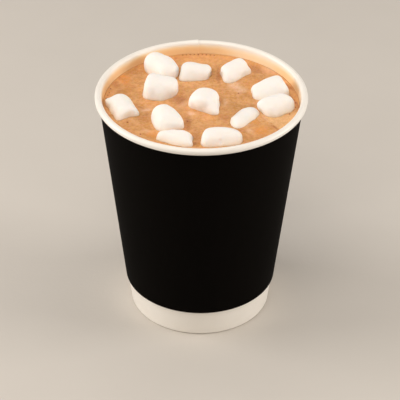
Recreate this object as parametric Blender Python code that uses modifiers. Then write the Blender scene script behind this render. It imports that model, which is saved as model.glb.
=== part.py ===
"""Hot chocolate with mini marshmallows in a double-wall paper cup, at its real size in metres."""
import math
import random
from collections import namedtuple

import bmesh
import bpy

MM = 0.001

# The cup holds 12 fluid ounces and takes a 90 mm lid
CUP_HEIGHT = 106 * MM
RIM_RADIUS = 45 * MM
FOOT_RADIUS = 30.8 * MM
PAPER = 0.5 * MM
ROLL_RADIUS = 1.45 * MM
ROLL_EDGE = -120
ROLL_STEPS = 10
SEGMENTS = 60

# Clearance that pieces keep where the real ones touch
GAP = 0.3 * MM

# The foot: the wall turns in and up round the skirt of the base
FOLD_HEIGHT = 6 * MM
BASE_HEIGHT = 8 * MM
BASE_CORNER = 1 * MM

# The black outer wall, and the lap where its two edges are glued
SLEEVE_BOTTOM = 13.7 * MM
SLEEVE_TOP = 102.8 * MM
LAP_WIDTH = 9 * MM
LAP_STEP = 0.35 * MM
LAP_INSET = 0.2 * MM
LAP_CUTS = 4

# The drink stands this far below the top of the rim
HEADSPACE = 5.8 * MM

# A marshmallow is a cut length of soft rope with rounded ends: sides round, rings long
SIDES = 14
RINGS = 12
CORNER = 5
WAIST = 0.05
LUMP = 0.02

# Each lies with its middle at x, y and so far above the drink, turned by yaw from +X and with
# its far end raised by pitch, in millimetres and degrees. flat is its height over its width,
# taper makes the far end thicker, and bow bends its middle sideways, in parts of the radius.
Marshmallow = namedtuple("Marshmallow", "x y lift yaw pitch radius length flat taper bow")
MARSHMALLOWS = [
    Marshmallow(-17.4, 25.6, 2.0, 124, 0, 5.2, 15.2, 0.96, 0.00, 0.00),
    Marshmallow(-17.3, 9.2, 1.2, -8, -8, 6.5, 13.8, 0.98, -0.04, 0.00),
    Marshmallow(-2.4, 23.8, 0.2, 0, 0, 5.5, 13.4, 0.92, -0.12, 0.00),
    Marshmallow(14.6, 24.9, 0.3, 38, 4, 5.1, 12.6, 0.94, 0.00, 0.00),
    Marshmallow(29.2, 9.4, 0.3, 9, 22, 5.6, 14.4, 0.96, 0.00, 0.00),
    Marshmallow(31.1, -3.3, 1.0, 34, 0, 5.3, 13.8, 0.94, 0.00, 0.00),
    Marshmallow(-33.1, -5.2, -0.4, 114, 4, 5.3, 14.2, 0.94, 0.00, 0.00),
    Marshmallow(-14.2, -14.0, 0.6, 113, 0, 5.4, 13.0, 0.94, 0.00, 0.00),
    Marshmallow(-10.9, -27.3, -0.8, 159, 0, 4.3, 13.8, 0.96, 0.00, 0.00),
    Marshmallow(1.5, -1.3, 0.9, 65, 4, 6.2, 11.4, 0.96, 0.00, 0.00),
    Marshmallow(8.7, -27.4, -0.4, 183, 0, 5.1, 15.8, 0.96, 0.12, 0.00),
    Marshmallow(18.0, -11.0, -1.9, 52, 6, 4.6, 15.4, 0.84, 0.00, 0.15),
]

# Colours of the materials, in linear light
WHITE_PAPER = (0.86, 0.80, 0.72)
BLACK_PAPER = (0.010, 0.008, 0.007)
DRINK_COLOUR = (0.62, 0.30, 0.12)
MARSHMALLOW_COLOUR = (0.92, 0.87, 0.78)

# What follows from the driving dimensions
ROLL_CENTRE_RADIUS = RIM_RADIUS - ROLL_RADIUS
ROLL_CENTRE_HEIGHT = CUP_HEIGHT - ROLL_RADIUS
WALL_SLOPE = (RIM_RADIUS - 2 * ROLL_RADIUS + PAPER - FOOT_RADIUS) / ROLL_CENTRE_HEIGHT
LAYER = PAPER + GAP
DRINK_LEVEL = CUP_HEIGHT - HEADSPACE
DRINK_BOTTOM = BASE_HEIGHT + PAPER / 2 + GAP


def clear_scene():
    for item in list(bpy.data.objects):
        bpy.data.objects.remove(item, do_unlink=True)


def new_collection(name):
    collection = bpy.data.collections.new(name)
    bpy.context.scene.collection.children.link(collection)
    return collection


def new_material(name, colour, roughness):
    material = bpy.data.materials.new(name)
    material.use_nodes = True
    shader = material.node_tree.nodes["Principled BSDF"]
    shader.inputs["Base Color"].default_value = (*colour, 1)
    shader.inputs["Roughness"].default_value = roughness
    shader.inputs["Metallic"].default_value = 0
    return material


def new_object(name, mesh, collection, material=None):
    item = bpy.data.objects.new(name, mesh)
    collection.objects.link(item)
    if material:
        mesh.materials.append(material)
    return item


def make_guide(item):
    """Mark an object that only cuts or joins others."""
    item.hide_render = True
    item.display_type = "WIRE"


def wall_middle(height):
    """Radius of the middle of the cup wall's paper."""
    return FOOT_RADIUS - PAPER / 2 + WALL_SLOPE * height


def arc(centre, radius, start, end, steps):
    """Points round an arc, with its angles in degrees from +X."""
    angles = [math.radians(start + (end - start) * k / steps) for k in range(steps + 1)]
    return [(centre[0] + radius * math.cos(a), centre[1] + radius * math.sin(a)) for a in angles]


def paper_outline(line):
    """Outline of a sheet whose middle follows the line: its left side, then its right side back."""
    normals = []
    for start, end in zip(line, line[1:]):
        run, rise = end[0] - start[0], end[1] - start[1]
        size = math.hypot(run, rise)
        normals.append((-rise / size, run / size))
    left, right = [], []
    for k, (x, z) in enumerate(line):
        before = normals[max(k - 1, 0)]
        after = normals[min(k, len(normals) - 1)]
        mitre = 1 + before[0] * after[0] + before[1] * after[1]
        across = ((before[0] + after[0]) / mitre, (before[1] + after[1]) / mitre)
        left.append((x + across[0] * PAPER / 2, z + across[1] * PAPER / 2))
        right.append((x - across[0] * PAPER / 2, z - across[1] * PAPER / 2))
    return left + right[::-1]


def turned(name, outline, closed, collection, material):
    """Turn an outline of radii and heights round the Z axis."""
    count = len(outline)
    edges = [(k, (k + 1) % count) for k in range(count if closed else count - 1)]
    mesh = bpy.data.meshes.new(name)
    mesh.from_pydata([(x, 0, z) for x, z in outline], edges, [])
    item = new_object(name, mesh, collection, material)
    screw = item.modifiers.new("turn", "SCREW")
    screw.axis = "Z"
    screw.steps = SEGMENTS
    screw.render_steps = SEGMENTS
    screw.use_merge_vertices = True
    screw.merge_threshold = 0.01 * MM
    screw.use_smooth_shade = True
    return item


def join_or_cut(item, tool, operation):
    boolean = item.modifiers.new(f"{operation.lower()}_{tool.name}", "BOOLEAN")
    boolean.operation = operation
    boolean.solver = "EXACT"
    boolean.object = tool


def build_cup_wall(collection, material):
    """Tapered wall with its rolled rim, and its foot turned in and up to hold the base."""
    roll = arc((ROLL_CENTRE_RADIUS, ROLL_CENTRE_HEIGHT), ROLL_RADIUS - PAPER / 2, ROLL_EDGE, 180, ROLL_STEPS)
    floor = PAPER / 2
    foot = [
        (wall_middle(PAPER), PAPER),
        (wall_middle(floor) - PAPER / 2, floor),
        (wall_middle(floor) - 2 * LAYER + PAPER / 2, floor),
        (wall_middle(PAPER) - 2 * LAYER, PAPER),
        (wall_middle(FOLD_HEIGHT) - 2 * LAYER, FOLD_HEIGHT),
    ]
    turned("cup_wall", paper_outline(roll + foot), True, collection, material)


def build_cup_base(collection, material):
    """Disc set up inside the foot, with a skirt that goes down between the wall and its fold."""
    shoulder = BASE_HEIGHT - BASE_CORNER
    skirt_bottom = PAPER + 2 * GAP
    corner = arc((wall_middle(shoulder) - LAYER - BASE_CORNER, shoulder), BASE_CORNER, 90, 0, 3)
    line = [(0, BASE_HEIGHT), *corner, (wall_middle(skirt_bottom) - LAYER, skirt_bottom)]
    turned("cup_base", paper_outline(line), False, collection, material)


def build_lap(radius_at, collection):
    """Strip at the back of the outer wall, thick at its cut edge and fading into the wall."""
    low, high = SLEEVE_BOTTOM + LAP_INSET, SLEEVE_TOP - LAP_INSET
    work = bmesh.new()
    bmesh.ops.create_cube(work, size=1)
    across = [e for e in work.edges if abs(e.verts[0].co.x - e.verts[1].co.x) > 0.5]
    bmesh.ops.subdivide_edges(work, edges=across, cuts=LAP_CUTS, use_grid_fill=True)
    for vertex in work.verts:
        side, face, end = vertex.co
        height = low + (high - low) * (end + 0.5)
        outer = LAP_STEP * (0.5 - side) - LAP_INSET * (0.5 + side)
        radius = radius_at(height) + (outer if face > 0 else -PAPER / 2 - LAP_INSET / 2)
        angle = math.pi / 2 - side * LAP_WIDTH / radius
        vertex.co = (radius * math.cos(angle), radius * math.sin(angle), height)
    bmesh.ops.recalc_face_normals(work, faces=work.faces)
    mesh = bpy.data.meshes.new("lap")
    work.to_mesh(mesh)
    work.free()
    lap = new_object("lap", mesh, collection)
    make_guide(lap)
    return lap


def build_sleeve(collection, guides, material):
    """Outer wall round the cup, tucked under the rolled rim and ending above the foot."""
    def outside(height):
        return wall_middle(height) + LAYER + PAPER / 2

    line = [(outside(height) - PAPER / 2, height) for height in (SLEEVE_TOP, SLEEVE_BOTTOM)]
    sleeve = turned("sleeve", paper_outline(line), True, collection, material)
    join_or_cut(sleeve, build_lap(outside, guides), "UNION")


def build_marshmallow(name, piece, grow, seed, collection, material=None):
    """Rounded length of soft rope along its own Z, grown on all sides by the given amount."""
    radius = piece.radius * MM + grow
    half = piece.length * MM / 2 + grow
    draw = random.Random(seed)
    first, second = draw.uniform(0, math.tau), draw.uniform(0, math.tau)
    work = bmesh.new()
    bmesh.ops.create_uvsphere(work, u_segments=SIDES, v_segments=RINGS, radius=1)
    for vertex in work.verts:
        across, along = math.hypot(vertex.co.x, vertex.co.y), vertex.co.z
        turn = math.atan2(vertex.co.y, vertex.co.x)
        reach = ((across / radius) ** CORNER + (abs(along) / half) ** CORNER) ** (-1 / CORNER)
        place = along * reach / half
        swell = 1 + WAIST * (place ** 2 - 0.5) + piece.taper * place
        swell += LUMP * math.sin(2 * turn + 1.5 * place + first) + LUMP * math.sin(3 * turn - 2 * place + second)
        out = across * reach * swell
        bend = piece.bow * radius * (1 - place ** 2)
        vertex.co = (out * math.cos(turn) * piece.flat, out * math.sin(turn) + bend, along * reach)
    mesh = bpy.data.meshes.new(name)
    work.to_mesh(mesh)
    work.free()
    mesh.shade_smooth()
    item = new_object(name, mesh, collection, material)
    item.location = (piece.x * MM, piece.y * MM, DRINK_LEVEL + piece.lift * MM)
    item.rotation_euler = (0, math.radians(90 - piece.pitch), math.radians(piece.yaw))
    return item


def build_chocolate(collection, guides, material):
    """Drink from the base up to its level, cut round the marshmallows that float in it."""
    def edge(height):
        return wall_middle(height) - PAPER / 2 - GAP

    outline = [
        (0, DRINK_LEVEL),
        (edge(DRINK_LEVEL), DRINK_LEVEL),
        (edge(DRINK_BOTTOM), DRINK_BOTTOM),
        (0, DRINK_BOTTOM),
    ]
    drink = turned("chocolate", outline, False, collection, material)
    for number, piece in enumerate(MARSHMALLOWS, 1):
        hollow = build_marshmallow(f"hollow_{number:02d}", piece, GAP, number, guides)
        make_guide(hollow)
        join_or_cut(drink, hollow, "DIFFERENCE")


def main():
    clear_scene()
    parts = new_collection("hot_chocolate")
    guides = new_collection("guides")
    paper = new_material("white_paper", WHITE_PAPER, 0.5)
    card = new_material("black_paper", BLACK_PAPER, 0.55)
    liquid = new_material("chocolate", DRINK_COLOUR, 0.2)
    sugar = new_material("marshmallow", MARSHMALLOW_COLOUR, 0.8)
    build_cup_wall(parts, paper)
    build_cup_base(parts, paper)
    build_sleeve(parts, guides, card)
    build_chocolate(parts, guides, liquid)
    for number, piece in enumerate(MARSHMALLOWS, 1):
        build_marshmallow(f"marshmallow_{number:02d}", piece, 0, number, parts, sugar)


main()
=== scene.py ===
import math
import random

import bmesh
import bpy
from mathutils import Euler, Matrix, Vector, noise
from mathutils.bvhtree import BVHTree


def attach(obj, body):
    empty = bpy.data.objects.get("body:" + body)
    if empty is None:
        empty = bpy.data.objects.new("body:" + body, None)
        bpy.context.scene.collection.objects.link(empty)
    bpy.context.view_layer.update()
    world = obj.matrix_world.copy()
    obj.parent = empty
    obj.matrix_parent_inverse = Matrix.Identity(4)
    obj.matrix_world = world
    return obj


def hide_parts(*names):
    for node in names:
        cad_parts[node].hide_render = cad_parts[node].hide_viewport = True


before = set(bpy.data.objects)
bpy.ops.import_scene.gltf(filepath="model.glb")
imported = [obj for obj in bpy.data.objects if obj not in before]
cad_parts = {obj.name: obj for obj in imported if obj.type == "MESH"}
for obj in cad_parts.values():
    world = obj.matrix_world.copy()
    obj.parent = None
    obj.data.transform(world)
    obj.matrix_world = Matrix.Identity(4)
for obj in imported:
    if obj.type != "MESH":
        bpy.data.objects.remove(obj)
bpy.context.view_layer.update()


# Cup wall: a cone wound from one sheet of white paper with a thin plastic coat, glued down a lap
# at the back. The top edge is rolled outwards to a round rim, and the foot is turned in and up
# round the skirt of the base. Above the drink its inside is tinted tan: a stain of chocolate film
# together with painted glow of light bounced up from the drink, painted lighter near the drink
# against the shade there.
MM = 0.001
CUP_HEIGHT = 106 * MM
RIM_RADIUS = 45 * MM
FOOT_RADIUS = 30.8 * MM
PAPER = 0.5 * MM
GAP = 0.3 * MM
LAYER = PAPER + GAP
ROLL_RADIUS = 1.45 * MM
ROLL_PLACE = (RIM_RADIUS - ROLL_RADIUS, CUP_HEIGHT - ROLL_RADIUS)
WALL_SLOPE = (RIM_RADIUS - 2 * ROLL_RADIUS + PAPER - FOOT_RADIUS) / ROLL_PLACE[1]
DRINK_LEVEL = 100.2 * MM
FOLD_HEIGHT = 6 * MM
SECTORS = 240
SEAM_ANGLE = math.radians(91.9)
SEAM_WIDTH = 6 * MM
SEAM_STEP = 0.28 * MM
CUT_EDGE = 0.05 * MM
# Where the tan inside the wall lies: chocolate film stain with painted bounce light.
FILM_AND_BOUNCE_FOOT = 96 * MM
FILM_AND_BOUNCE_TOP = 104.5 * MM
FILM_AND_BOUNCE_FADE = 3.6 * MM


def wall_middle(height):
    """Radius of the middle of the cup wall's paper."""
    return FOOT_RADIUS - PAPER / 2 + WALL_SLOPE * height


def arc(centre, radius, start, end, steps):
    """Points round an arc, with its angles in degrees from +X."""
    angles = [math.radians(start + (end - start) * k / steps) for k in range(steps + 1)]
    return [(centre[0] + radius * math.cos(a), centre[1] + radius * math.sin(a)) for a in angles]


def straight(start, end, steps):
    """Points along a line from its start up to its end, without the end."""
    return [tuple(a + (b - a) * k / steps for a, b in zip(start, end)) for k in range(steps)]


def sheet(line, left_lap, right_lap):
    """Faces of a sheet whose middle follows the line: points with the way out at each, scaled
    by how much a lap lifts that face."""
    left, right = [], []
    for k, (x, z) in enumerate(line):
        before, after = line[max(k - 1, 0)], line[min(k + 1, len(line) - 1)]
        run, rise = after[0] - before[0], after[1] - before[1]
        size = math.hypot(run, rise)
        out = (-rise / size, run / size)
        for side, way, lap in ((left, 1, left_lap), (right, -1, right_lap)):
            out_x, out_z = way * out[0], way * out[1]
            side.append((x + out_x * PAPER / 2, z + out_z * PAPER / 2, out_x * lap, out_z * lap))
    return left + right[::-1]


def turned(name, outline, closed, angles, lap, sharp=50):
    """Turn an outline round the Z axis at the given angles, lifted by the lap at each angle."""
    rows, count = len(outline), len(angles)
    points = []
    for x, z, out, up in outline:
        for angle in angles:
            lift = lap(angle)
            radius = x + out * lift
            points.append((radius * math.cos(angle), radius * math.sin(angle), z + up * lift))
    faces = []
    for k in range(rows if closed else rows - 1):
        near, far = k * count, (k + 1) % rows * count
        for j in range(count):
            after = (j + 1) % count
            faces.append((near + j, near + after, far + after, far + j))
    if not closed:
        for end in (0, rows - 1):
            ring = [end * count + j for j in range(count)]
            points.append((0, 0, outline[end][1]))
            faces += [(ring[j], ring[(j + 1) % count], len(points) - 1) for j in range(count)]
    mesh = bpy.data.meshes.new(name)
    mesh.from_pydata(points, [], faces)
    work = bmesh.new()
    work.from_mesh(mesh)
    bmesh.ops.recalc_face_normals(work, faces=work.faces)
    work.to_mesh(mesh)
    work.free()
    mesh.shade_smooth()
    mesh.set_sharp_from_angle(angle=math.radians(sharp))
    item = bpy.data.objects.new(name, mesh)
    bpy.context.scene.collection.objects.link(item)
    return item


def around(*extra):
    """Even angles once round the cup, and any extra ones."""
    return sorted([math.tau * k / SECTORS for k in range(SECTORS)] + list(extra))


def no_lap(angle):
    return 0


def seam_lap(angle):
    """The inner lap stands highest at its cut edge and fades into the sheet below."""
    past = (angle - SEAM_ANGLE) * RIM_RADIUS / SEAM_WIDTH
    return SEAM_STEP * (1 - past) if 0 <= past <= 1 else 0


class Wire:
    """A socket in the node tree of a finish. Sums on it add Math nodes, node() adds any other."""

    def __init__(self, tree, socket=None):
        self.tree, self.socket = tree, socket

    def node(self, kind, settings=None, sockets=None, out=0):
        made = self.tree.nodes.new("ShaderNode" + kind)
        for name, value in (settings or {}).items():
            if name == "stops":
                ramp = made.color_ramp
                ramp.elements[0].position, ramp.elements[0].color = value[0]
                ramp.elements[1].position, ramp.elements[1].color = value[-1]
                for place, colour in value[1:-1]:
                    ramp.elements.new(place).color = colour
            else:
                setattr(made, name, value)
        for key, value in (sockets or {}).items():
            if isinstance(value, Wire):
                self.tree.links.new(value.socket, made.inputs[key])
            else:
                made.inputs[key].default_value = value
        return Wire(self.tree, made.outputs[out]) if made.outputs else None

    def other(self, key):
        """Another output of the same node."""
        return Wire(self.tree, self.socket.node.outputs[key])

    def maths(self, operation, first, second=0.0):
        return self.node("Math", {"operation": operation}, {0: first, 1: second})

    def __add__(self, more):
        return self.maths("ADD", self, more)

    __radd__ = __add__

    def __sub__(self, less):
        return self.maths("SUBTRACT", self, less)

    def __rsub__(self, whole):
        return self.maths("SUBTRACT", whole, self)

    def __mul__(self, times):
        return self.maths("MULTIPLY", self, times)

    __rmul__ = __mul__

    def __truediv__(self, parts):
        return self.maths("DIVIDE", self, parts)

    def __rtruediv__(self, whole):
        return self.maths("DIVIDE", whole, self)

    def __pow__(self, power):
        return self.maths("POWER", self, power)

    def __rpow__(self, base):
        return self.maths("POWER", base, self)


def tint(red, green, blue):
    """A colour from its values of 0 to 255 on a screen, in linear light."""
    channels = [value / 255 for value in (red, green, blue)]
    return (*[c / 12.92 if c <= 0.04045 else ((c + 0.055) / 1.055) ** 2.4 for c in channels], 1)


def new_finish(name):
    """An empty material, its Wire, and the place of each point of the object in metres."""
    material = bpy.data.materials.new(name)
    material.use_nodes = True
    material.node_tree.nodes.clear()
    tree = Wire(material.node_tree)
    return material, tree, tree.node("TexCoord", out="Object")


def shade_with(material, tree, colour, roughness, height, depth, fixed):
    """The finish's own shader, with its relief: height in parts of a depth in metres."""
    relief = tree.node("Bump", None, {"Strength": 1.0, "Distance": depth, "Height": height})
    sockets = {"Base Color": colour, "Roughness": roughness, "Normal": relief, **fixed}
    shader = tree.node("BsdfPrincipled", None, sockets)
    tree.node("OutputMaterial", None, {"Surface": shader})
    return material


def blend(amount, first, second):
    """The first colour, going over to the second as the amount goes from 0 to 1."""
    wire = next(value for value in (amount, first, second) if isinstance(value, Wire))
    return wire.node("Mix", {"data_type": "RGBA"}, {0: amount, 6: first, 7: second}, out=2)


def between(value, low, high):
    """0 where the value is at low, 1 at high, and a smooth change between."""
    ends = {1: low, 2: high, 3: 0.0, 4: 1.0}
    return value.node("MapRange", {"interpolation_type": "SMOOTHSTEP"}, {0: value, **ends})


def mottle(place, size, detail=2.0, roughness=0.5):
    """Cloudy noise from 0 to 1 whose patches are of the given size in metres."""
    fineness = {"Scale": 1 / size, "Detail": detail, "Roughness": roughness}
    return place.node("TexNoise", None, {"Vector": place, **fineness})


def stretched(place, across, up):
    """The place with its sides scaled, so that what is drawn with it is drawn out."""
    return place.node("VectorMath", {"operation": "MULTIPLY"}, {0: place, 1: (across, across, up)})


def split(place):
    """The three parts of a place."""
    parts = place.node("SeparateXYZ", None, {0: place})
    return parts, parts.other(1), parts.other(2)


roll = arc(ROLL_PLACE, ROLL_RADIUS - PAPER / 2, -150, 180, 30)
turn = arc((wall_middle(PAPER) - LAYER, LAYER + PAPER / 2), LAYER, 0, -180, 12)
down = straight(roll[-1], turn[0], 24)[1:]
fold_end = (wall_middle(FOLD_HEIGHT) - 2 * LAYER, FOLD_HEIGHT)
wall_line = roll + down + turn + straight(turn[-1], fold_end, 3)[1:] + [fold_end]
seam_angles = (SEAM_ANGLE - CUT_EDGE / RIM_RADIUS, SEAM_ANGLE, SEAM_ANGLE + SEAM_WIDTH / RIM_RADIUS)
wall = turned("cup_wall_paper", sheet(wall_line, 0, 1), True, around(*seam_angles), seam_lap)

finish, tree, place = new_finish("coated_white_paper")
x, y, z = split(place)
radius = (x * x + y * y) ** 0.5
inward = radius - z * WALL_SLOPE
inside = 1 - between(inward, FOOT_RADIUS - 0.2 * MM, FOOT_RADIUS + 1.0 * MM)
above_foot = between(z, FILM_AND_BOUNCE_FOOT, FILM_AND_BOUNCE_FOOT + 1 * MM)
# How strong the tan is once round the cup, from the left side by way of the front. It is a stain
# of chocolate film together with painted glow of light bounced up from the drink.
amounts = [(0.0, 0.75), (0.03, 0.4), (0.1, 0.6), (0.42, 0.6), (0.47, 0.05), (0.5, 0.2), (0.53, 0.5),
           (0.56, 0.62), (0.585, 0.64), (0.62, 0.4), (0.69, 0.36), (0.72, 0.6), (0.78, 0.88),
           (0.86, 0.88), (0.89, 0.62), (1.0, 0.75)]
stops = [(at, (amount, amount, amount, 1)) for at, amount in amounts]
turned_by = y.maths("ARCTAN2", y, x) / math.tau + 0.5
film_and_bounce_around = tree.node("RGBToBW", None, {0: tree.node("ValToRGB", {"stops": stops}, {0: turned_by})})
film_and_bounce_top = FILM_AND_BOUNCE_TOP + mottle(place, 6 * MM) * (0.8 * MM)
film_and_bounce = inside * above_foot * (1 - between(z - film_and_bounce_top, 0.6 * MM - FILM_AND_BOUNCE_FADE, 0.6 * MM)) * film_and_bounce_around
fibre = mottle(stretched(place, 1.0, 0.35), 0.5 * MM, 4.0, 0.65)
cloud = mottle(place, 7 * MM)
paper = blend(cloud, tint(247, 241, 232), tint(250, 246, 239))
paper = blend(fibre * 0.10, paper, tint(214, 202, 184))
# The tan from faint to full: stain of chocolate film with painted bounce light, painted lighter at its
# full end near the drink against the shade there.
stain_and_bounce = [(0.0, tint(253, 248, 240)), (0.25, tint(255, 238, 208)), (0.5, tint(255, 222, 174)),
         (0.75, tint(252, 211, 158)), (1.0, tint(248, 204, 150))]
paper = blend(between(film_and_bounce, 0.0, 0.15), paper, tree.node("ValToRGB", {"stops": stain_and_bounce}, {0: film_and_bounce}))
shade_with(finish, tree, paper, 0.42 - film_and_bounce * 0.15, fibre, 0.012 * MM,
           {"Coat Weight": 0.25, "Coat Roughness": 0.3})
wall.data.materials.append(finish)
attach(wall, "root")
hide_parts("cup_wall")


# Base: a disc of the same paper, pressed down at its edge into a skirt that is gripped between
# the wall and its fold. Its underside is uncoated and shows the print of the press.
BASE_HEIGHT = 8 * MM
BASE_CORNER = 1 * MM
SKIRT_BOTTOM = PAPER + 2 * GAP
PRESS_DEPTH = 0.12 * MM

shoulder = BASE_HEIGHT - BASE_CORNER
corner = arc((wall_middle(shoulder) - LAYER - BASE_CORNER, shoulder), BASE_CORNER, 90, 0, 8)
press_print = [(20.0, 0), (20.6, PRESS_DEPTH), (21.4, PRESS_DEPTH), (22.0, 0)]
flat = [(0.4 * MM, BASE_HEIGHT)] + [(out * MM, BASE_HEIGHT - depth) for out, depth in press_print]
skirt_end = (wall_middle(SKIRT_BOTTOM) - LAYER, SKIRT_BOTTOM)
base_line = flat + corner + straight(corner[-1], skirt_end, 4)[1:] + [skirt_end]
base_outline = sheet(base_line, 0, 0)
base = turned("cup_base_paper", base_outline, False, around(), no_lap)

finish, tree, place = new_finish("plain_white_paper")
fibre = mottle(place, 0.45 * MM, 4.0, 0.65)
board = blend(mottle(place, 5 * MM), tint(238, 230, 211), tint(246, 240, 224))
board = blend(fibre * 0.16, board, tint(196, 180, 156))
shade_with(finish, tree, board, 0.7 + fibre * 0.1, fibre, 0.02 * MM, {})
base.data.materials.append(finish)
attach(base, "root")
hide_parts("cup_base")


# Outer wall: a second cone of black paper round the cup, with a finger's breadth of the white
# foot left bare below it. Its two edges are glued over each other at the back.
SLEEVE_BOTTOM = 13.7 * MM
SLEEVE_TOP = 102.8 * MM
LAP_WIDTH = 9 * MM
LAP_STEP = 0.35 * MM
LAP_INSET = 0.2 * MM


def sleeve_lap(angle):
    """The outer lap is thick at its cut edge and fades into the wall."""
    side = (math.pi / 2 - angle) * FOOT_RADIUS * 1.2 / LAP_WIDTH
    if abs(side) > 0.5:
        return 0
    return max(0, LAP_STEP * (0.5 - side) - LAP_INSET * (0.5 + side))


def sleeve_middle(height):
    return wall_middle(height) + LAYER


lap_reach = LAP_WIDTH / 2 / (FOOT_RADIUS * 1.2)
lap_angles = (math.pi / 2 + lap_reach, math.pi / 2 + lap_reach + CUT_EDGE / RIM_RADIUS)
low, high = (sleeve_middle(SLEEVE_BOTTOM), SLEEVE_BOTTOM), (sleeve_middle(SLEEVE_TOP), SLEEVE_TOP)
sleeve_line = straight(high, low, 30) + [low]
sleeve = turned("black_sleeve", sheet(sleeve_line, 1, 0), True, around(*lap_angles), sleeve_lap)

finish, tree, place = new_finish("black_outer_paper")
grain = mottle(place, 0.35 * MM, 4.0, 0.7)
flow = mottle(stretched(place, 1.0, 0.2), 2.5 * MM, 3.0)
ink = blend(grain, tint(5, 4, 3), tint(10, 8, 6))
ink = blend(flow * 0.25, ink, tint(17, 13, 11))
edge = 1 - between(split(place)[2], SLEEVE_BOTTOM, SLEEVE_BOTTOM + 0.25 * MM)
ink = blend(edge * 0.5, ink, tint(70, 58, 46))
shade_with(finish, tree, ink, 0.68 + grain * 0.12, grain + flow * 2, 0.02 * MM,
           {"Specular IOR Level": 0.08, "IOR": 1.25})
sleeve.data.materials.append(finish)
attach(sleeve, "root")
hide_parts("sleeve")


# Marshmallows: mini ones, cut from a soft rope of whipped sugar dusted with starch, so each is a
# rounded length with two cut ends. They float deep in the hot drink and have begun to soften, so
# their ends flare, their skins crease, and drink creeps up their sides. Their lower sides are also
# painted warm, as painted glow of light bounced up from the drink.
AROUND, ALONG = 96, 72
WAIST = 0.05
LUMP = 0.02
SKIRT = 0.35 * MM
SKIRT_HEIGHT = 1.1 * MM
FOLD_SIZE, FOLD_DEPTH = 4 * MM, 0.22 * MM
SKIN_SIZE, SKIN_DEPTH = 1.3 * MM, 0.035 * MM
MARSHMALLOWS = [
    # x, y, lift above the drink, yaw, pitch, radius, length, flat, taper, bow, squareness of ends
    (-17.4, 25.6, 2.0, 124, 0, 5.2, 15.2, 0.96, 0.00, 0.00, 3.0),
    (-17.3, 9.2, 1.2, -8, -8, 6.5, 13.8, 0.98, -0.04, 0.00, 4.2),
    (-2.4, 23.8, 0.2, 0, 0, 5.5, 13.4, 0.92, -0.12, 0.00, 4.0),
    (14.6, 24.9, 0.3, 38, 4, 5.1, 12.6, 0.94, 0.00, 0.00, 5.0),
    (29.2, 9.4, 0.3, 9, 22, 5.6, 14.4, 0.96, 0.00, 0.00, 4.5),
    (31.1, -3.3, 1.0, 34, 0, 5.3, 13.8, 0.94, 0.00, 0.00, 3.0),
    (-33.1, -5.2, -0.4, 114, 4, 5.3, 14.2, 0.94, 0.00, 0.00, 5.0),
    (-14.2, -14.0, 0.6, 113, 0, 5.4, 13.0, 0.94, 0.00, 0.00, 3.2),
    (-10.9, -27.3, -0.8, 159, 0, 4.3, 13.8, 0.96, 0.00, 0.00, 4.5),
    (1.5, -1.3, 0.9, 65, 4, 6.2, 11.4, 0.96, 0.00, 0.00, 3.0),
    (8.7, -27.4, -0.4, 183, 0, 5.1, 15.8, 0.96, 0.12, 0.00, 3.8),
    (18.0, -11.0, -1.9, 52, 6, 4.6, 15.4, 0.84, 0.00, 0.15, 3.2),
]

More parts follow.
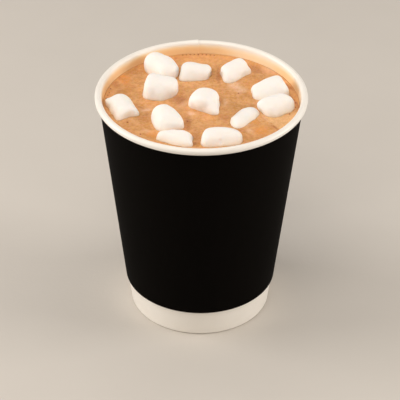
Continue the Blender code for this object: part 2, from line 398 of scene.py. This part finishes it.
# Where each is swollen or pressed in. A place is given as on a globe whose poles are the two ends:
# latitude, turn from its upper side, millimetres out or in, and reach in degrees.
PRESSED = {
    1: [(58, 60, 0.7, 30), (54, 5, 0.6, 28), (4, 320, 0.9, 26), (26, 108, 0.5, 18),
        (-14, 306, 0.5, 14), (-40, 290, 0.5, 14), (-52, 265, 0.5, 16), (30, 330, -0.3, 16)],
    2: [(46, 266, -1.6, 19), (-48, 261, -0.3, 12), (-66, 330, 0.25, 25), (42, 32, 0.4, 18),
        (55, 34, -0.4, 12), (-18, 287, -0.25, 8), (6, 262, 0.8, 22), (-36, 254, 0.45, 12),
        (62, 345, 0.3, 14)],
    3: [(68, 276, -1, 14), (46, 273, -0.6, 14), (-18, 27, 0.35, 20), (28, 33, -0.35, 16),
        (-86, 0, -0.3, 16), (75, 75, -0.4, 14), (-64, 280, 0.6, 14), (-48, 27, -0.3, 14),
        (-20, 306, -0.25, 12), (62, 350, 0.4, 12)],
    4: [(56, 310, -0.7, 22), (46, 268, -1.1, 14), (62, 285, 0.4, 10), (-72, 262, 0.2, 12),
        (64, 276, 0.5, 12), (12, 270, -0.8, 18), (-66, 280, 1.4, 16), (-58, 78, -1.1, 14),
        (-26, 44, 0.5, 20), (5, 41, 0.3, 20), (32, 38, 0.45, 18)],
    5: [(-48, 300, 0.5, 20), (-66, 350, -0.5, 14), (0, 32, 0.5, 28), (40, 38, 0.45, 22),
        (70, 56, -0.4, 14), (60, 272, 1, 16)],
    6: [(63, 300, 0.9, 16), (40, 262, 0.7, 18), (-64, 275, 0.2, 12), (23, 268, 0.45, 12),
        (-22, 262, 0.8, 20), (-65, 258, -0.3, 15), (-66, 50, 1, 12), (-74, 150, -0.7, 16)],
    7: [(-76, 340, -1, 14), (-52, 74, 0.8, 14), (-66, 60, -0.3, 14), (-34, 78, -0.3, 12),
        (36, 82, -0.6, 12), (48, 64, 1.5, 9), (53, 30, -0.25, 12), (32, 296, 0.45, 22),
        (-52, 294, 0.4, 9)],
    8: [(-30, 92, 1.2, 20), (-44, 92, 0.4, 12), (5, 92, 0.6, 18), (48, 60, 0.5, 30),
        (49, 15, 0.3, 22), (0, 303, 0.4, 25), (-57, 267, 1.2, 16), (-46, 280, -0.9, 10),
        (-46, 16, -0.45, 9), (-56, 302, 0.9, 13), (-76, 325, 0.9, 14)],
    9: [(-72, 55, 2, 14), (60, 330, -0.8, 14), (46, 318, -0.5, 12), (10, 323, 0.3, 22),
        (-32, 328, 0.7, 16), (-55, 326, 0.3, 14), (62, 20, 0.3, 12), (35, 72, -0.6, 16),
        (57, 280, -0.4, 12), (-80, 15, -0.5, 10)],
    10: [(34, 278, -0.9, 16), (-30, 272, 2.8, 14), (-68, 258, -0.9, 22), (-62, 93, -1.4, 18),
         (-8, 69, 0.5, 22), (34, 30, 0.4, 30), (42, 325, 0.35, 16), (-70, 40, 0.4, 14),
         (-48, 288, 0.35, 12), (4, 285, 0.3, 14), (26, 297, 0.25, 10)],
    11: [(72, 60, 0.7, 18), (0, 328, 0.5, 40), (55, 82, 0.5, 14), (72, 330, -0.3, 12),
         (-66, 335, -0.3, 12), (-37, 82, 0.4, 14), (14, 28, -0.3, 9), (14, 60, -0.6, 9),
         (43, 44, 0.3, 14), (-70, 20, 0.4, 10)],
    12: [(-52, 328, 1.7, 22), (-10, 312, 0.6, 24), (28, 305, 0.4, 18), (64, 0, 0.5, 18),
         (-58, 32, -0.7, 14), (0, 55, -0.2, 25), (68, 300, -0.3, 14)],
}


def toward(latitude, turn):
    """The way from the middle of a piece to a place on it."""
    latitude, turn = math.radians(latitude), math.radians(turn)
    out = math.cos(latitude)
    return Vector((-out * math.cos(turn), out * math.sin(turn), math.sin(latitude)))


def ball(columns, rows):
    """Points and faces of a ball of radius 1 whose poles are on the Z axis."""
    points, faces = [(0, 0, 1)], []
    for k in range(1, rows):
        out, up = math.sin(math.pi * k / rows), math.cos(math.pi * k / rows)
        angles = [math.tau * j / columns for j in range(columns)]
        points += [(out * math.cos(a), out * math.sin(a), up) for a in angles]
    points.append((0, 0, -1))
    bottom = len(points) - 1
    for j in range(columns):
        after = (j + 1) % columns
        faces.append((0, 1 + j, 1 + after))
        for near in range(1, bottom - columns, columns):
            faces.append((near + j, near + columns + j, near + columns + after, near + after))
        faces.append((bottom, bottom - columns + after, bottom - columns + j))
    return points, faces


def marshmallow(name, number, piece):
    """A soft length of rope as the frame has it, with creases and a fine skin."""
    x, y, lift, yaw, pitch, radius, length, flat, taper, bow, square = piece
    radius, half = radius * MM, length * MM / 2
    draw = random.Random(number)
    first, second = draw.uniform(0, math.tau), draw.uniform(0, math.tau)
    dents = [(toward(latitude, turn), push * MM, math.radians(reach))
             for latitude, turn, push, reach in PRESSED[number]]
    lie = Euler((0, math.radians(90 - pitch), math.radians(yaw))).to_matrix().to_4x4()
    lie = Matrix.Translation((x * MM, y * MM, DRINK_LEVEL + lift * MM)) @ lie
    points, faces = ball(AROUND, ALONG)
    mesh = bpy.data.meshes.new(name)
    mesh.from_pydata(points, [], faces)
    work = bmesh.new()
    work.from_mesh(mesh)
    for vertex in work.verts:
        across, along = math.hypot(vertex.co.x, vertex.co.y), vertex.co.z
        turn = math.atan2(vertex.co.y, vertex.co.x)
        reach = ((across / radius) ** square + (abs(along) / half) ** square) ** (-1 / square)
        place = along * reach / half
        lump = math.sin(2 * turn + 1.5 * place + first), math.sin(3 * turn - 2 * place + second)
        swell = 1 + WAIST * (place ** 2 - 0.5) + taper * place
        swell += LUMP * lump[0] + LUMP * lump[1]
        out = across * reach * swell
        bend = bow * radius * (1 - place ** 2)
        spot = Vector((out * math.cos(turn) * flat, out * math.sin(turn) + bend, along * reach))
        for middle, push, spread in dents:
            spot += vertex.co * push * math.exp(-(vertex.co.angle(middle) / spread) ** 2 / 2)
        vertex.co = lie @ spot
        aside = (vertex.co - lie.translation) * Vector((1, 1, 0))
        above = (vertex.co.z - DRINK_LEVEL) / SKIRT_HEIGHT
        vertex.co += aside.normalized() * SKIRT * math.exp(-above ** 2)
    work.normal_update()
    shift = Vector((number * 3.1, number * 1.7, 0))
    moves = []
    for vertex in work.verts:
        fold = 0.5 - abs(noise.noise(vertex.co / FOLD_SIZE + shift))
        skin = noise.noise(vertex.co / SKIN_SIZE + shift)
        moves.append(vertex.normal * (fold * FOLD_DEPTH + skin * SKIN_DEPTH))
    for vertex, move in zip(work.verts, moves):
        vertex.co += move
    work.to_mesh(mesh)
    work.free()
    mesh.shade_smooth()
    item = bpy.data.objects.new(name, mesh)
    bpy.context.scene.collection.objects.link(item)
    return item


finish, tree, place = new_finish("whipped_sugar")
powder = mottle(place, 0.22 * MM, 3.0, 0.6)
pores = mottle(place, 0.9 * MM, 3.0)
# Warm tint low on each piece: drink soaked into the sugar, together with painted warm glow of light
# bounced up from the drink, reaching 2.2 mm above it.
soak_and_bounce_line = split(place)[2] + mottle(place, 1.6 * MM) * (0.4 * MM)
soak_and_bounce = 1 - between(soak_and_bounce_line, DRINK_LEVEL + 0.2 * MM, DRINK_LEVEL + 2.2 * MM)
sugar = blend(pores, tint(244, 239, 233), tint(247, 243, 239))
sugar = blend(soak_and_bounce * 0.4, sugar, tint(252, 218, 176))
shade_with(finish, tree, sugar, 0.78 - soak_and_bounce * 0.35, powder * 0.5 + pores, 0.03 * MM,
           {"Subsurface Weight": 0.6, "Subsurface Radius": (1.0, 0.85, 0.7),
            "Subsurface Scale": 2.6 * MM})
floating = []
for number, piece in enumerate(MARSHMALLOWS, 1):
    item = marshmallow(f"soft_marshmallow_{number:02d}", number, piece)
    item.data.materials.append(finish)
    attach(item, "root")
    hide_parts(f"marshmallow_{number:02d}")
    floating.append(item)


# Drink: hot chocolate made with milk, poured to just under the rim. It climbs a little where it
# wets the wall and the marshmallows, and a fine froth and pale streaks of milk drift on it. Its
# colour also holds painted light: painted reflections of the marshmallows, painted shadow beside
# them, painted light along the wall's edge and in a smooth corner at the right.
CLEAR = 0.03 * MM
RING_STEP = 0.5 * MM
DRINK_SECTORS = 480
DRINK_BOTTOM = 8.55 * MM
WALL_CLIMB, WALL_REACH = 0.35 * MM, 0.8 * MM
SUGAR_CLIMB, SUGAR_REACH = 0.2 * MM, 0.7 * MM
OVERLAP = 0.35 * MM
UNDERSIDE_START = 14 * MM
SWELL_SIZE, SWELL_HEIGHT = 9 * MM, 0.10 * MM
RIPPLE_SIZE, RIPPLE_HEIGHT = 2.5 * MM, 0.04 * MM
BOTTOM_CORNER = 1.2 * MM
EDGE_LIGHT_REACH = 0.7 * MM
DRIFTS = {
    # x, y, half length and half width in mm, turn in degrees, strength
    # Milk streaks; those just in front of marshmallows are painted reflections of them in the drink.
    "milk": [
        (-23, -5, 3, 1, 15, 0.9), (-7.5, -0.5, 4, 1.5, 45, 0.5), (-3.5, -7.5, 2, 1.5, -25, 1.0),
        (14, 15.5, 2.5, 2.5, 0, 0.9), (16.5, 11.5, 2.5, 2.5, 0, 0.9), (10, 1, 1, 3, 0, 0.6),
        (18.5, -16.5, 1.5, 1.5, 0, 0.6), (20.5, -20.5, 2, 1.5, -50, 0.7),
        (-29.5, -12.5, 1.5, 1, -30, 0.5), (-23, -21.5, 2, 1, -30, 0.5),
        (27.5, -11.5, 3, 0.4, -60, 0.8), (30, 28.5, 3.5, 3, -40, 0.5),
    ],
    # Darker chocolate; some are painted shadow beside marshmallows, between them and the wall.
    "deep": [
        (-35, 20.5, 1, 2, 0, 0.9), (-37.5, 15.5, 1.5, 3, 45, 0.5), (-30, 25.5, 2.5, 2.5, 0, 0.4),
        (-9, 3, 2.5, 3, -15, 0.8), (-5.5, -15.5, 1.5, 4.5, 0, 0.8), (7.5, 23, 1, 7, 0, 0.7),
        (23, 29, 3.5, 2.5, -45, 0.7), (10, -11, 2.5, 2, 0, 0.5), (16.5, -20.5, 1.5, 2.5, 45, 0.6),
        (-2.5, -31, 0.7, 1, 0, 1.3), (36.5, 15.5, 0.7, 4.5, 35, 1.1), (39.3, 2.5, 0.5, 5.5, 15, 1.1),
        (31, -18, 2.5, 0.5, -60, 0.9), (-26, -3, 0.4, 3.5, 45, 0.8), (-11.5, 38, 0.6, 1, 0, 0.8),
        (-2, -24.5, 1.5, 5.5, 0, 0.5), (-22.5, -11.5, 2, 4, 0, 0.3), (-33, 19.5, 1.3, 2, 0, 0.5),
    ],
    "gold": [
        (-33, 19.5, 2.1, 3.6, 0, 1.4), (-33, 19.5, 1.2, 2, 0, -0.9), (25.5, -20.5, 3.5, 3, 30, 0.9),
        (21, -13.5, 3, 2, -30, 0.6), (-20, -24, 2.5, 2, -30, 0.8), (4, 11, 3.5, 2.5, 0, 0.4),
        (-21.5, 0, 4, 2.5, 0, 0.3), (22, 16.5, 3.5, 4.5, 0, 0.4), (-31.5, 12, 2, 5.5, 0, 0.3),
        (2.5, -11.5, 3.5, 3, 0, 0.3),
    ],
    # Paler chocolate; the one at the left wall is painted light against the shade where the drink
    # meets the wall.
    "pale": [
        (1, 39.5, 16.5, 4, 0, 0.5), (17, 38, 7.5, 3, -15, 0.5), (30, 28.5, 4, 3.5, -40, 1.2),
        (-35.5, 34, 7.5, 3.5, 45, 0.3), (38, 7.5, 2.5, 12, 15, 0.4), (10.5, -35.5, 13, 2.5, 0, 0.4),
        (-9, -5, 4.5, 4.5, 0, 0.3), (-39.5, 2.5, 2, 7.5, 0, 0.4),
    ],
}


# The drink lies smooth at the right, beyond a straight line from one marshmallow to the wall, and is
# painted lighter there as painted light.
CALM_AND_LIT_LINE = ((26.0 * MM, -8.9 * MM), (31.9 * MM, -19.1 * MM))
CALM_AND_LIT_BACK, CALM_AND_LIT_EDGE, CALM_AND_LIT_FADE = -5 * MM, 0.4 * MM, 1.5 * MM


def calm_and_lit_at(x, y):
    """How far the smooth corner, painted lighter as painted light, has taken over at a place."""
    (x1, y1), (x2, y2) = CALM_AND_LIT_LINE
    size = math.hypot(x2 - x1, y2 - y1)
    beyond = ((x - x1) * (y1 - y2) + (y - y1) * (x2 - x1)) / size
    before = CALM_AND_LIT_BACK - y
    return min(max(beyond / CALM_AND_LIT_EDGE, 0), 1) * min(max(before / CALM_AND_LIT_FADE, 0), 1)


def drink_inside(height):
    return wall_middle(height) - PAPER / 2 - CLEAR


trees = []
for item in floating:
    corners = [Vector(corner) for corner in item.bound_box]
    lowest = Vector([min(c[k] for c in corners) - 3 * MM for k in range(3)])
    highest = Vector([max(c[k] for c in corners) + 3 * MM for k in range(3)])
    vertices = [v.co.copy() for v in item.data.vertices]
    faces = [tuple(p.vertices) for p in item.data.polygons]
    trees.append((lowest, highest, BVHTree.FromPolygons(vertices, faces)))


def surface(x, y, edge):
    """Height of the drink at a place that is so far from the wall."""
    spot = Vector((x, y, DRINK_LEVEL))
    height = DRINK_LEVEL + SWELL_HEIGHT * noise.noise(spot / SWELL_SIZE)
    height += RIPPLE_HEIGHT * noise.noise(spot / RIPPLE_SIZE)
    climb = WALL_CLIMB * math.exp(-edge / WALL_REACH)
    for lowest, highest, skin in trees:
        if not (lowest.x < x < highest.x and lowest.y < y < highest.y):
            continue
        nearest, normal, face, distance = skin.find_nearest(spot)
        if (spot - nearest).dot(normal) < 0:
            if distance > OVERLAP:
                start = Vector((x, y, DRINK_LEVEL - UNDERSIDE_START))
                under = skin.ray_cast(start, Vector((0, 0, 1)))[0]
                if under is not None:
                    return min(under.z - 0.1 * MM, height)
            distance = 0
        climb = max(climb, SUGAR_CLIMB * math.exp(-distance / SUGAR_REACH))
    return height + climb


def drift(kind, x, y):
    """How strongly a kind of drift shows at a place, its edges drawn out by slow eddies."""
    warp = noise.noise_vector(Vector((x, y, 0)) / (6 * MM)) * 0.8 * MM
    warp += noise.noise_vector(Vector((x, y, 9 * MM)) / (1.6 * MM)) * 0.5 * MM
    total = 0
    for across, along, half, width, turn, strength in DRIFTS[kind]:
        turn = math.radians(turn)
        dx, dy = x + warp.x - across * MM, y + warp.y - along * MM
        far = (dx * math.cos(turn) + dy * math.sin(turn)) / (half * MM)
        wide = (dy * math.cos(turn) - dx * math.sin(turn)) / (width * MM)
        total += strength * math.exp(-0.7 * (far * far + wide * wide) ** 2)
    return min(max(total, 0), 1)


edge_radius = drink_inside(DRINK_LEVEL + WALL_CLIMB)
ring_count = round(edge_radius / RING_STEP)
points, faces = [], []
shown = {kind: [] for kind in (*DRIFTS, "calm")}
for k in range(1, ring_count + 1):
    ring_radius = edge_radius * k / ring_count
    for j in range(DRINK_SECTORS):
        angle = math.tau * j / DRINK_SECTORS
        px, py = ring_radius * math.cos(angle), ring_radius * math.sin(angle)
        points.append((px, py, surface(px, py, edge_radius - ring_radius)))
        for kind in DRIFTS:
            shown[kind].append(drift(kind, px, py))
        # Painted light: the drink is painted pale close to the wall, against the shade where the two
        # meet.
        shown["pale"][-1] = max(shown["pale"][-1], math.exp((ring_radius - edge_radius) / EDGE_LIGHT_REACH))
        shown["calm"].append(calm_and_lit_at(px, py))
for height in (DRINK_LEVEL - 4 * MM, 60 * MM, DRINK_BOTTOM + BOTTOM_CORNER, DRINK_BOTTOM):
    ring_radius = drink_inside(height) - (BOTTOM_CORNER if height == DRINK_BOTTOM else 0)
    for j in range(DRINK_SECTORS):
        angle = math.tau * j / DRINK_SECTORS
        points.append((ring_radius * math.cos(angle), ring_radius * math.sin(angle), height))
for k in range(ring_count + 3):
    for j in range(DRINK_SECTORS):
        near, after = k * DRINK_SECTORS + j, k * DRINK_SECTORS + (j + 1) % DRINK_SECTORS
        faces.append((near, near + DRINK_SECTORS, after + DRINK_SECTORS, after))
ends = ((0, surface(0, 0, edge_radius)), (len(points) - DRINK_SECTORS, DRINK_BOTTOM))
for first_point, height in ends:
    ring = [first_point + j for j in range(DRINK_SECTORS)]
    points.append((0, 0, height))
    middle = len(points) - 1
    for j in range(DRINK_SECTORS):
        pair = (ring[j], ring[(j + 1) % DRINK_SECTORS])
        faces.append((*pair, middle) if first_point == 0 else (*pair[::-1], middle))
mesh = bpy.data.meshes.new("hot_drink")
mesh.from_pydata(points, [], faces)
mesh.shade_smooth()
for kind, amounts in shown.items():
    amounts += [0.0] * (len(points) - len(amounts))
    mesh.attributes.new(kind, "FLOAT", "POINT").data.foreach_set("value", amounts)
drink = bpy.data.objects.new("hot_drink", mesh)
bpy.context.scene.collection.objects.link(drink)

finish, tree, place = new_finish("milky_chocolate")
milk, deep, gold, pale, calm = [
    tree.node("Attribute", {"attribute_name": kind}, out="Fac") for kind in shown]
froth = mottle(place, 0.5 * MM, 3.0, 0.65)
swirl = mottle(place, 4 * MM, 4.0, 0.65)
patch = mottle(place, 1.5 * MM, 2.0, 0.6)
aside = place.node("VectorMath", {"operation": "ADD"}, {0: place, 1: (0.05, 0.02, 0.01)})
warm = mottle(aside, 1.3 * MM, 2.0, 0.6)
cells = {"Vector": place, "Scale": 1 / (1.7 * MM), "Randomness": 1.0}
speck = 1 - between(place.node("TexVoronoi", {"feature": "F1"}, cells), 0.05, 0.15)
lively = 1 - calm * 0.85
cream = blend(between(swirl, 0.35, 0.65), tint(217, 164, 103), tint(239, 186, 127))
cream = blend(between(patch, 0.47, 0.66) * 0.5, cream, tint(206, 136, 75))
cream = blend(between(patch, 0.47, 0.30) * 0.4 * lively, cream, tint(248, 200, 156))
# Pale drifts, with the painted light along the wall's edge.
cream = blend(pale * 0.7, cream, tint(246, 186, 130))
# Darker drifts, some of them painted shadow beside marshmallows.
cream = blend(deep * 0.8, cream, tint(176, 107, 66))
cream = blend(gold * 0.75, cream, tint(245, 166, 84))
# Milk streaks, some of them painted reflections of marshmallows.
cream = blend(milk * (0.45 + patch * 0.6), cream, tint(255, 218, 188))
cream = blend(between(warm, 0.50, 0.66) * 0.5 * lively, cream, tint(236, 162, 120))
cream = blend(between(warm, 0.50, 0.34) * 0.42 * lively, cream, tint(234, 165, 80))
cream = blend(between(froth, 0.42, 0.68) * 0.55 * lively, cream, tint(186, 115, 61))
# Painted light in the smooth corner at the right.
cream = blend(calm * 0.7, cream, tint(238, 190, 136))
cream = blend(speck * 0.30 * lively, cream, tint(150, 88, 44))
shade_with(finish, tree, cream, 0.2 + froth * 0.14, froth * lively, 0.05 * MM,
           {"Subsurface Weight": 0.35, "Subsurface Radius": (1.0, 0.55, 0.3),
            "Subsurface Scale": 1.5 * MM})
drink.data.materials.append(finish)
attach(drink, "root")
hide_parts("chocolate")


# Bubbles: a few of froth are left against the wall and on the drink. Each is a low dome of the
# drink's own skin, thin and dark, that stands where it has floated to.
BUBBLE_SHRINK = 0.88
DOME, SUNK = 0.7, 0.3
BUBBLES = [
    # x, y and radius in mm before it shrinks
    (-8.3, 40.3, 0.34), (-6.7, 40.5, 0.30), (-5.0, 40.7, 0.38), (-3.2, 40.9, 0.32), (-1.4, 40.9, 0.42),
    (0.4, 40.9, 0.34), (2.1, 40.8, 0.40), (3.9, 40.7, 0.32), (5.6, 40.4, 0.28),
    (-38.8, 11.4, 0.40), (-39.3, 8.3, 0.36), (-39.8, 6.2, 0.32), (-40.3, 3.6, 0.40),
    (39.9, 1.5, 0.36), (39.8, -2.4, 0.34), (37.1, -7.6, 0.42),
    (15.8, 8.8, 0.40), (-5.7, -13.8, 0.45), (-30.7, -14.9, 0.48), (-25.0, -24.0, 0.40),
]

points, faces = [], []
dome_points, dome_faces = ball(20, 12)
for across, along, size in BUBBLES:
    px, py, size = across * MM, along * MM, size * BUBBLE_SHRINK * MM
    pz = surface(px, py, edge_radius - math.hypot(px, py))
    faces += [tuple(len(points) + corner for corner in face) for face in dome_faces]
    for x, y, z in dome_points:
        points.append((px + x * size, py + y * size, pz + z * (DOME if z > 0 else SUNK) * size))
mesh = bpy.data.meshes.new("froth_bubbles")
mesh.from_pydata(points, [], faces)
mesh.shade_smooth()
bubbles = bpy.data.objects.new("froth_bubbles", mesh)
bpy.context.scene.collection.objects.link(bubbles)

finish, tree, place = new_finish("bubble_skin")
skin_colour = blend(mottle(place, 0.3 * MM), tint(150, 84, 52), tint(196, 124, 82))
grain = mottle(place, 0.2 * MM)
shade_with(finish, tree, skin_colour, 0.12 + grain * 0.1, grain, 0.01 * MM, {})
bubbles.data.materials.append(finish)
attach(bubbles, "root")


# Studio: a pale matt floor, a large soft light overhead, one in front and a low one at each side,
# and the camera where the photograph was taken from.
FLOOR_RADIUS = 4.0
FLOOR_DROP = 0.05 * MM
FLOOR_BOTTOM = 20 * MM
FLOOR_CENTRE = 2 * MM
LOOKED_AT = Vector((0, 0, 0.08))

corners = [(FLOOR_CENTRE, FLOOR_DROP), (FLOOR_RADIUS, FLOOR_DROP),
           (FLOOR_RADIUS, FLOOR_BOTTOM), (FLOOR_CENTRE, FLOOR_BOTTOM)]
outline = [(out, -drop, 0, 0) for out, drop in corners]
floor = turned("studio_floor", outline, False, around(), no_lap)
finish, tree, place = new_finish("pale_floor")
tone = blend(mottle(place, 40 * MM), tint(204, 198, 190), tint(209, 203, 195))
shade_with(finish, tree, tone, 0.7, mottle(place, 2 * MM), 0.05 * MM, {})
floor.data.materials.append(finish)


def soft_light(name, place, width, watts, colour):
    """A square light that looks at the top of the cup."""
    lamp = bpy.data.lights.new(name, "AREA")
    lamp.shape = "SQUARE"
    lamp.size = width
    lamp.energy = watts
    lamp.color = colour
    item = bpy.data.objects.new(name, lamp)
    bpy.context.scene.collection.objects.link(item)
    item.location = place
    item.rotation_euler = (LOOKED_AT - Vector(place)).to_track_quat("-Z", "Y").to_euler()
    item.visible_camera = False


soft_light("top_light", (-0.15, 0.15, 1.25), 1.2, 3.8, (1.0, 0.96, 0.93))
soft_light("front_light", (-0.25, -0.70, 1.06), 0.9, 6.2, (1.0, 0.93, 0.85))
soft_light("left_light", (-0.95, 0.05, 0.46), 0.6, 5.8, (1.0, 0.96, 0.92))
soft_light("right_light", (0.92, -0.05, 0.38), 0.5, 5.0, (1.0, 0.95, 0.9))

world = bpy.data.worlds.new("studio")
bpy.context.scene.world = world
world.use_nodes = True
background = world.node_tree.nodes["Background"]
background.inputs["Color"].default_value = (1.0, 0.95, 0.88, 1)
background.inputs["Strength"].default_value = 0.25
bpy.context.scene.view_settings.view_transform = "Standard"

ELEVATION = math.radians(34.9)
ROLL = math.radians(0.43)
CAMERA_AIM = Vector((-0.23, 0, 50.65)) * MM
CAMERA_DISTANCE = 0.8
LENS = 164.16
back = Vector((0, -math.cos(ELEVATION), math.sin(ELEVATION)))
right, up = Vector((1, 0, 0)), Vector((0, math.sin(ELEVATION), math.cos(ELEVATION)))
right, up = math.cos(ROLL) * right + math.sin(ROLL) * up, math.cos(ROLL) * up - math.sin(ROLL) * right
camera_data = bpy.data.cameras.new("camera")
camera_data.sensor_width = 36
camera_data.lens = LENS
camera_data.clip_start, camera_data.clip_end = 0.01, 50
camera = bpy.data.objects.new("camera", camera_data)
bpy.context.scene.collection.objects.link(camera)
stand = Matrix.Translation(CAMERA_AIM + back * CAMERA_DISTANCE)
camera.matrix_world = stand @ Matrix((right, up, back)).transposed().to_4x4()
bpy.context.scene.camera = camera
